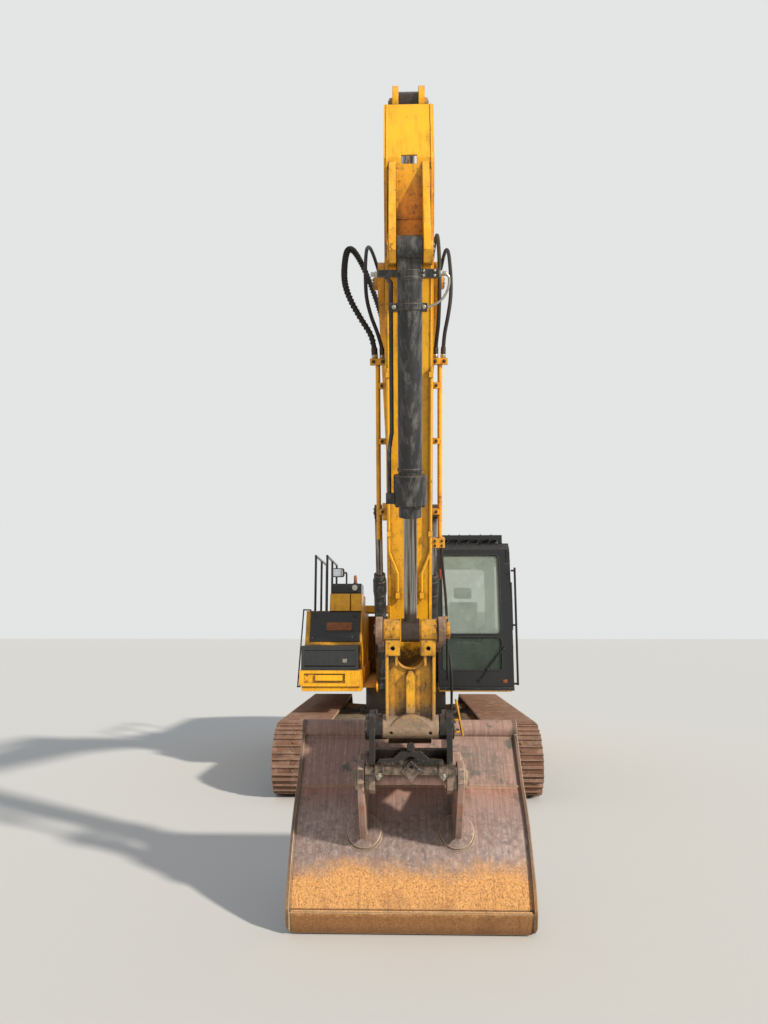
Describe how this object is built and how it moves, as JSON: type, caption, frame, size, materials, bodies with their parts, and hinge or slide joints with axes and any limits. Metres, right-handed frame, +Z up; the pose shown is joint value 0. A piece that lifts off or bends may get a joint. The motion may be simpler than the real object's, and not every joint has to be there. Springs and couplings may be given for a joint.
{
  "type": "crawler excavator",
  "caption": "Tracked excavator with cab, box boom, stick, quick coupler and a wide smooth-edged ditching bucket, standing parked with the bucket just over the ground.",
  "frame": {"origin": "on the ground, in the slew axis", "axes": "+Z up along the slew axis; -Y to the front, where the boom points; +X to the cab side"},
  "size_m": [2.98, 9.6484, 5.0199],
  "materials": {
    "dusty_frame_paint": "worn paint with dust and chips",
    "frame_dark": "worn paint with dust and chips",
    "track_steel": "worn steel with rust",
    "roller_steel": "dusty cast iron",
    "ring_steel": "dusty cast iron",
    "yellow_paint": "worn paint with dust and chips",
    "engine_iron": "dusty cast iron",
    "charcoal_paint": "worn paint with dust and chips",
    "black_paint": "worn paint with dust and chips",
    "exhaust_steel": "worn steel with rust",
    "cab_glass": "dusty tinted glass",
    "seat_cloth": "dusty woven cloth",
    "console_plastic": "matt moulded plastic",
    "lamp_lens": "dusty tinted glass",
    "yellow_pipe": "worn paint with dust and chips",
    "hose_rubber": "matt rubber",
    "cylinder_paint": "worn paint with dust and chips",
    "rod_chrome": "oiled hard chrome",
    "rusty_steel": "worn steel with rust",
    "worn_yellow": "worn paint with dust and chips",
    "coupler_black": "worn paint with dust and chips",
    "bucket_steel": "worn steel with rust"
  },
  "bodies": {
    "undercarriage": {"carbody": "dusty_frame_paint", "track_frames": "frame_dark", "track_left": "track_steel", "track_right": "track_steel", "rollers": "roller_steel", "final_drives": "roller_steel", "slew_ring": "ring_steel"},
    "house": {"upper_frame": "yellow_paint", "counterweight": "yellow_paint", "engine_block": "engine_iron", "side_houses": "yellow_paint", "tanks": "yellow_paint", "step_box": "charcoal_paint", "side_rails": "black_paint", "swing_motor": "engine_iron", "exhaust": "exhaust_steel", "cab_shell": "black_paint", "cab_glass": "cab_glass", "roof_guard": "black_paint", "seat": "seat_cloth", "console": "console_plastic", "cab_rail": "black_paint", "black_covers": "black_paint", "lamps": "lamp_lens"},
    "engine_cover": {"engine_cover": "yellow_paint"},
    "pump_door": {"pump_door": "yellow_paint"},
    "cooler_door": {"cooler_door": "yellow_paint"},
    "box_lid": {"box_lid": "charcoal_paint"},
    "cab_door": {"cab_door": "black_paint", "door_glass": "cab_glass"},
    "boom": {"boom": "yellow_paint", "boom_pipes": "yellow_pipe", "boom_hoses": "hose_rubber"},
    "stick": {"stick": "yellow_paint", "stick_pipes": "yellow_pipe", "coupler_hose": "hose_rubber"},
    "boom_barrels": {"boom_barrels": "cylinder_paint"},
    "boom_rods": {"boom_rods": "rod_chrome"},
    "stick_barrel": {"stick_barrel": "cylinder_paint"},
    "stick_rod": {"stick_rod": "rod_chrome"},
    "bucket_barrel": {"bucket_barrel": "cylinder_paint"},
    "bucket_rod": {"bucket_rod": "rod_chrome"},
    "rockers": {"rockers": "rusty_steel"},
    "link": {"link": "worn_yellow"},
    "tool": {"coupler": "coupler_black", "bucket": "bucket_steel"}
  },
  "joints": [
    {"name": "slew", "type": "hinge", "parent": "undercarriage", "child": "house", "pos_m": [0, 0, 1.1], "axis": [0, 0, 1], "continuous": true},
    {"name": "boom_lift", "type": "hinge", "parent": "house", "child": "boom", "pos_m": [0, -0.3, 1.78], "axis": [-1, 0, 0], "range_deg": [-48, 42]},
    {"name": "boom_barrel_swing", "type": "hinge", "parent": "house", "child": "boom_barrels", "pos_m": [0, -0.85, 1.15], "axis": [-1, 0, 0], "range_deg": [-46.06, 40.3]},
    {"name": "boom_rod_slide", "type": "slide", "parent": "boom_barrels", "child": "boom_rods", "axis": [0, -0.6066, 0.795], "range_m": [-0.6575, 0.5758]},
    {"name": "stick_swing", "type": "hinge", "parent": "boom", "child": "stick", "pos_m": [0, -6.16, 4], "axis": [1, 0, 0], "range_deg": [-60, 35]},
    {"name": "stick_barrel_swing", "type": "hinge", "parent": "boom", "child": "stick_barrel", "pos_m": [0, -3.05507, 4.24597], "axis": [1, 0, 0], "range_deg": [-7.27, 4.24]},
    {"name": "stick_rod_slide", "type": "slide", "parent": "stick_barrel", "child": "stick_rod", "axis": [0, -0.982, 0.1888], "range_m": [-0.9674, 0.566]},
    {"name": "bucket_curl", "type": "hinge", "parent": "stick", "child": "tool", "pos_m": [0, -5.36, 1.21], "axis": [1, 0, 0], "range_deg": [-30, 85]},
    {"name": "bucket_barrel_swing", "type": "hinge", "parent": "stick", "child": "bucket_barrel", "pos_m": [0, -6.71982, 3.90977], "axis": [1, 0, 0], "range_deg": [-1.72, 0.61]},
    {"name": "bucket_rod_slide", "type": "slide", "parent": "bucket_barrel", "child": "bucket_rod", "axis": [0, 0.3313, -0.9435], "range_m": [-0.1925, 0.5381]},
    {"name": "rocker_swing", "type": "hinge", "parent": "stick", "child": "rockers", "pos_m": [0, -5.4802, 1.79971], "axis": [1, 0, 0], "range_deg": [-26.66, 75.55]},
    {"name": "link_swing", "type": "hinge", "parent": "tool", "child": "link", "pos_m": [0, -5.82, 1.28], "axis": [1, 0, 0], "range_deg": [-84.13, 29.7]},
    {"name": "cab_door_open", "type": "hinge", "parent": "house", "child": "cab_door", "pos_m": [1.344, -0.327, 2], "axis": [0, 0, 1], "range_deg": [0, 150]},
    {"name": "pump_door_open", "type": "hinge", "parent": "house", "child": "pump_door", "pos_m": [-1.314, 2.124, 1.7], "axis": [0, 0, -1], "range_deg": [0, 110]},
    {"name": "cooler_door_open", "type": "hinge", "parent": "house", "child": "cooler_door", "pos_m": [1.314, 2.124, 1.7], "axis": [0, 0, 1], "range_deg": [0, 110]},
    {"name": "engine_cover_open", "type": "hinge", "parent": "house", "child": "engine_cover", "pos_m": [0, 1.068, 2.14], "axis": [1, 0, 0], "range_deg": [0, 60]},
    {"name": "box_lid_open", "type": "hinge", "parent": "house", "child": "box_lid", "pos_m": [-0.955, -1.276, 1.42], "axis": [1, 0, 0], "range_deg": [0, 90]}
  ],
  "couplings": [
    {"joint": "boom_barrel_swing", "follows": "boom_lift", "ratio": 0.95},
    {"joint": "boom_rod_slide", "follows": "boom_lift", "m_per_rad": 0.78},
    {"joint": "stick_barrel_swing", "follows": "stick_swing", "ratio": 0.12},
    {"joint": "stick_rod_slide", "follows": "stick_swing", "m_per_rad": 0.92},
    {"joint": "bucket_barrel_swing", "follows": "bucket_curl", "ratio": -0.02},
    {"joint": "bucket_rod_slide", "follows": "bucket_curl", "m_per_rad": 0.36},
    {"joint": "rocker_swing", "follows": "bucket_curl", "ratio": 0.88},
    {"joint": "link_swing", "follows": "bucket_curl", "ratio": -0.98}
  ]
}
